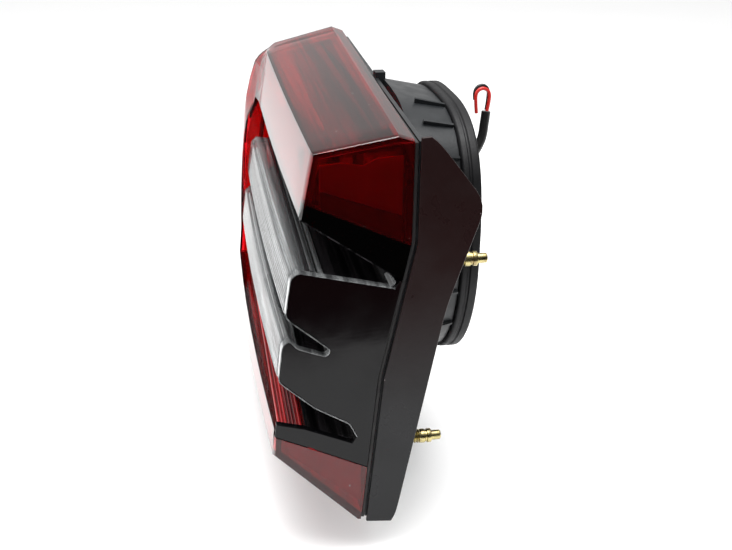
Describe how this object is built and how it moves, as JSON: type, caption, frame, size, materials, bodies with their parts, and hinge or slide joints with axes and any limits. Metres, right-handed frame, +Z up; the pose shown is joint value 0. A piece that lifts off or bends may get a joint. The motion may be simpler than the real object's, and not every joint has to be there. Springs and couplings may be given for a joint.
{
  "type": "tail light",
  "caption": "Rear lamp with a raked C-shaped red lens, clear fluted bars, a gloss black open end, and a rear bulb chamber with gasket, studs and quarter-turn bulb holders.",
  "frame": {"origin": "on the vehicle panel that the gasket seats on, at the middle of the lamp's width and at the gasket's middle height", "axes": "+X along the lamp from the closed end of the C to its open end, +Y from the lit front towards the vehicle, +Z up"},
  "size_m": [0.208, 0.1079, 0.1649],
  "materials": {
    "red_lens": "polished red transparent acrylic, gloss with fine moulded lines",
    "gloss_black": "high gloss black",
    "bezel_black": "gloss black moulding",
    "clear_lens": "clear acrylic with lengthwise flutes",
    "red_strip": "ribbed red acrylic",
    "red_reflex": "faceted red reflex plastic",
    "sealant": "dull bonding sealant",
    "metallised": "vacuum-metallised plastic",
    "screw_steel": "zinc-plated steel",
    "housing_plastic": "moulded dark grey-black plastic, fine grain",
    "gasket_rubber": "dull black rubber",
    "skirt_plastic": "satin brown-black plastic",
    "yellow_zinc": "yellow-passivated zinc on steel",
    "soft_rubber": "dull black rubber",
    "holder_plastic": "moulded black plastic",
    "bulb_glass": "clear glass",
    "contact_brass": "stamped brass",
    "sleeve_vinyl": "black vinyl insulation",
    "red_vinyl": "red vinyl insulation"
  },
  "bodies": {
    "lamp": {"outer_lens": "red_lens", "end_cover": "gloss_black", "inner_bezel": "bezel_black", "clear_bar_upper": "clear_lens", "clear_bar_lower": "clear_lens", "red_strip": "red_strip", "reflex_insert": "red_reflex", "lens_seal": "sealant", "upper_reflector": "metallised", "lower_reflector": "metallised", "reflector_screw_1": "screw_steel", "reflector_screw_2": "screw_steel", "reflector_screw_3": "screw_steel", "reflector_screw_4": "screw_steel", "rear_housing": "housing_plastic", "rear_gasket": "gasket_rubber", "end_skirt": "skirt_plastic", "mounting_stud_1": "yellow_zinc", "mounting_stud_2": "yellow_zinc", "mounting_stud_3": "yellow_zinc", "mounting_stud_4": "yellow_zinc", "wire_grommet": "soft_rubber", "breather": "soft_rubber", "wire_sleeve": "sleeve_vinyl", "wire_red": "red_vinyl", "wire_black": "sleeve_vinyl"},
    "stop_holder": {"bulb_holder_stop": "holder_plastic", "holder_seal_stop": "soft_rubber", "bulb_stop": "bulb_glass", "contact_stop_live": "contact_brass", "contact_stop_earth": "contact_brass"},
    "turn_holder": {"bulb_holder_turn": "holder_plastic", "holder_seal_turn": "soft_rubber", "bulb_turn": "bulb_glass", "contact_turn_live": "contact_brass", "contact_turn_earth": "contact_brass"}
  },
  "joints": [
    {"name": "stop_holder_twist", "type": "hinge", "parent": "lamp", "child": "stop_holder", "pos_m": [-0.003, 0, 0.027], "axis": [0, 1, 0], "range_deg": [0, 45]},
    {"name": "turn_holder_twist", "type": "hinge", "parent": "lamp", "child": "turn_holder", "pos_m": [0.04, 0, -0.008], "axis": [0, 1, 0], "range_deg": [0, 45]}
  ]
}
